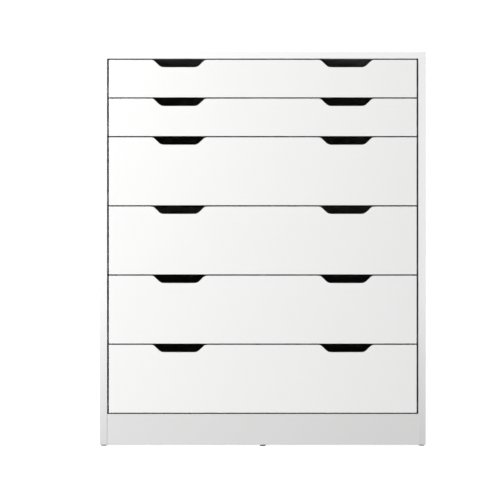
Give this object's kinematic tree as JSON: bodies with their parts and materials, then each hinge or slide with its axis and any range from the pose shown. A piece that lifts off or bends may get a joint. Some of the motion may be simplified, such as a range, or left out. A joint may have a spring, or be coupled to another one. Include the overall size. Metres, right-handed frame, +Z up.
{
  "type": "tall chest of drawers",
  "caption": "Tall white storage chest with shallow drawers over deep ones, inset full-width fronts with finger cut-outs, roller runners and a plinth on low glides.",
  "frame": {"origin": "on the floor below the middle of the chest's outline", "axes": "+Z up, -Y out of the drawer fronts, +X to the right as seen from the front"},
  "size_m": [0.9, 0.48, 1.088],
  "materials": {
    "front_white": "smooth white lacquer",
    "carcass_white": "satin white melamine",
    "drawer_box": "light grey foil",
    "hardboard": "raw hardboard",
    "beech": "raw",
    "strip_white": "matte",
    "glide_grey": "matte",
    "zinc_steel": "zinc plated",
    "runner_white": "white epoxy powder coat",
    "roller_nylon": "satin"
  },
  "bodies": {
    "carcass": {"side_panel_left": "carcass_white", "side_panel_right": "carcass_white", "top_panel": "carcass_white", "bottom_panel": "carcass_white", "plinth_board": "carcass_white", "rear_rails": "carcass_white", "back_panels": "hardboard", "back_joining_strip": "strip_white", "glide_feet": "glide_grey", "carcass_fixings": "zinc_steel", "dowels": "beech", "carcass_runners": "runner_white"},
    "drawer_1": {"drawer_1_front": "front_white", "drawer_1_sides": "drawer_box", "drawer_1_back": "drawer_box", "drawer_1_bottom": "drawer_box", "drawer_1_fixings": "zinc_steel", "drawer_1_runners": "runner_white"},
    "drawer_1_rear_wheels": {"drawer_1_rear_rollers": "roller_nylon"},
    "carcass_wheels_1": {"carcass_rollers_1": "roller_nylon"},
    "drawer_2": {"drawer_2_front": "front_white", "drawer_2_sides": "drawer_box", "drawer_2_back": "drawer_box", "drawer_2_bottom": "drawer_box", "drawer_2_fixings": "zinc_steel", "drawer_2_runners": "runner_white"},
    "drawer_2_rear_wheels": {"drawer_2_rear_rollers": "roller_nylon"},
    "carcass_wheels_2": {"carcass_rollers_2": "roller_nylon"},
    "drawer_3": {"drawer_3_front": "front_white", "drawer_3_sides": "drawer_box", "drawer_3_back": "drawer_box", "drawer_3_bottom": "drawer_box", "drawer_3_fixings": "zinc_steel", "drawer_3_runners": "runner_white"},
    "drawer_3_rear_wheels": {"drawer_3_rear_rollers": "roller_nylon"},
    "carcass_wheels_3": {"carcass_rollers_3": "roller_nylon"},
    "drawer_4": {"drawer_4_front": "front_white", "drawer_4_sides": "drawer_box", "drawer_4_back": "drawer_box", "drawer_4_bottom": "drawer_box", "drawer_4_fixings": "zinc_steel", "drawer_4_runners": "runner_white"},
    "drawer_4_rear_wheels": {"drawer_4_rear_rollers": "roller_nylon"},
    "carcass_wheels_4": {"carcass_rollers_4": "roller_nylon"},
    "drawer_5": {"drawer_5_front": "front_white", "drawer_5_sides": "drawer_box", "drawer_5_back": "drawer_box", "drawer_5_bottom": "drawer_box", "drawer_5_fixings": "zinc_steel", "drawer_5_runners": "runner_white"},
    "drawer_5_rear_wheels": {"drawer_5_rear_rollers": "roller_nylon"},
    "carcass_wheels_5": {"carcass_rollers_5": "roller_nylon"},
    "drawer_6": {"drawer_6_front": "front_white", "drawer_6_sides": "drawer_box", "drawer_6_back": "drawer_box", "drawer_6_bottom": "drawer_box", "drawer_6_fixings": "zinc_steel", "drawer_6_runners": "runner_white"},
    "drawer_6_rear_wheels": {"drawer_6_rear_rollers": "roller_nylon"},
    "carcass_wheels_6": {"carcass_rollers_6": "roller_nylon"}
  },
  "joints": [
    {"name": "drawer_1_slide", "type": "slide", "parent": "carcass", "child": "drawer_1", "axis": [0, -1, 0], "range_m": [0, 0.3]},
    {"name": "drawer_1_rear_wheels_spin", "type": "hinge", "parent": "drawer_1", "child": "drawer_1_rear_wheels", "pos_m": [0, 0.164, 0.98235], "axis": [1, 0, 0], "continuous": true},
    {"name": "carcass_wheels_1_spin", "type": "hinge", "parent": "carcass", "child": "carcass_wheels_1", "pos_m": [0, -0.209, 0.9848], "axis": [1, 0, 0], "continuous": true},
    {"name": "drawer_2_slide", "type": "slide", "parent": "carcass", "child": "drawer_2", "axis": [0, -1, 0], "range_m": [0, 0.3]},
    {"name": "drawer_2_rear_wheels_spin", "type": "hinge", "parent": "drawer_2", "child": "drawer_2_rear_wheels", "pos_m": [0, 0.164, 0.87535], "axis": [1, 0, 0], "continuous": true},
    {"name": "carcass_wheels_2_spin", "type": "hinge", "parent": "carcass", "child": "carcass_wheels_2", "pos_m": [0, -0.209, 0.8778], "axis": [1, 0, 0], "continuous": true},
    {"name": "drawer_3_slide", "type": "slide", "parent": "carcass", "child": "drawer_3", "axis": [0, -1, 0], "range_m": [0, 0.3]},
    {"name": "drawer_3_rear_wheels_spin", "type": "hinge", "parent": "drawer_3", "child": "drawer_3_rear_wheels", "pos_m": [0, 0.164, 0.68435], "axis": [1, 0, 0], "continuous": true},
    {"name": "carcass_wheels_3_spin", "type": "hinge", "parent": "carcass", "child": "carcass_wheels_3", "pos_m": [0, -0.209, 0.6868], "axis": [1, 0, 0], "continuous": true},
    {"name": "drawer_4_slide", "type": "slide", "parent": "carcass", "child": "drawer_4", "axis": [0, -1, 0], "range_m": [0, 0.3]},
    {"name": "drawer_4_rear_wheels_spin", "type": "hinge", "parent": "drawer_4", "child": "drawer_4_rear_wheels", "pos_m": [0, 0.164, 0.49335], "axis": [1, 0, 0], "continuous": true},
    {"name": "carcass_wheels_4_spin", "type": "hinge", "parent": "carcass", "child": "carcass_wheels_4", "pos_m": [0, -0.209, 0.4958], "axis": [1, 0, 0], "continuous": true},
    {"name": "drawer_5_slide", "type": "slide", "parent": "carcass", "child": "drawer_5", "axis": [0, -1, 0], "range_m": [0, 0.3]},
    {"name": "drawer_5_rear_wheels_spin", "type": "hinge", "parent": "drawer_5", "child": "drawer_5_rear_wheels", "pos_m": [0, 0.164, 0.30235], "axis": [1, 0, 0], "continuous": true},
    {"name": "carcass_wheels_5_spin", "type": "hinge", "parent": "carcass", "child": "carcass_wheels_5", "pos_m": [0, -0.209, 0.3048], "axis": [1, 0, 0], "continuous": true},
    {"name": "drawer_6_slide", "type": "slide", "parent": "carcass", "child": "drawer_6", "axis": [0, -1, 0], "range_m": [0, 0.3]},
    {"name": "drawer_6_rear_wheels_spin", "type": "hinge", "parent": "drawer_6", "child": "drawer_6_rear_wheels", "pos_m": [0, 0.164, 0.11135], "axis": [1, 0, 0], "continuous": true},
    {"name": "carcass_wheels_6_spin", "type": "hinge", "parent": "carcass", "child": "carcass_wheels_6", "pos_m": [0, -0.209, 0.1138], "axis": [1, 0, 0], "continuous": true}
  ],
  "couplings": [
    {"joint": "drawer_1_rear_wheels_spin", "follows": "drawer_1_slide", "rad_per_m": 125},
    {"joint": "carcass_wheels_1_spin", "follows": "drawer_1_slide", "rad_per_m": 125},
    {"joint": "drawer_2_rear_wheels_spin", "follows": "drawer_2_slide", "rad_per_m": 125},
    {"joint": "carcass_wheels_2_spin", "follows": "drawer_2_slide", "rad_per_m": 125},
    {"joint": "drawer_3_rear_wheels_spin", "follows": "drawer_3_slide", "rad_per_m": 125},
    {"joint": "carcass_wheels_3_spin", "follows": "drawer_3_slide", "rad_per_m": 125},
    {"joint": "drawer_4_rear_wheels_spin", "follows": "drawer_4_slide", "rad_per_m": 125},
    {"joint": "carcass_wheels_4_spin", "follows": "drawer_4_slide", "rad_per_m": 125},
    {"joint": "drawer_5_rear_wheels_spin", "follows": "drawer_5_slide", "rad_per_m": 125},
    {"joint": "carcass_wheels_5_spin", "follows": "drawer_5_slide", "rad_per_m": 125},
    {"joint": "drawer_6_rear_wheels_spin", "follows": "drawer_6_slide", "rad_per_m": 125},
    {"joint": "carcass_wheels_6_spin", "follows": "drawer_6_slide", "rad_per_m": 125}
  ]
}
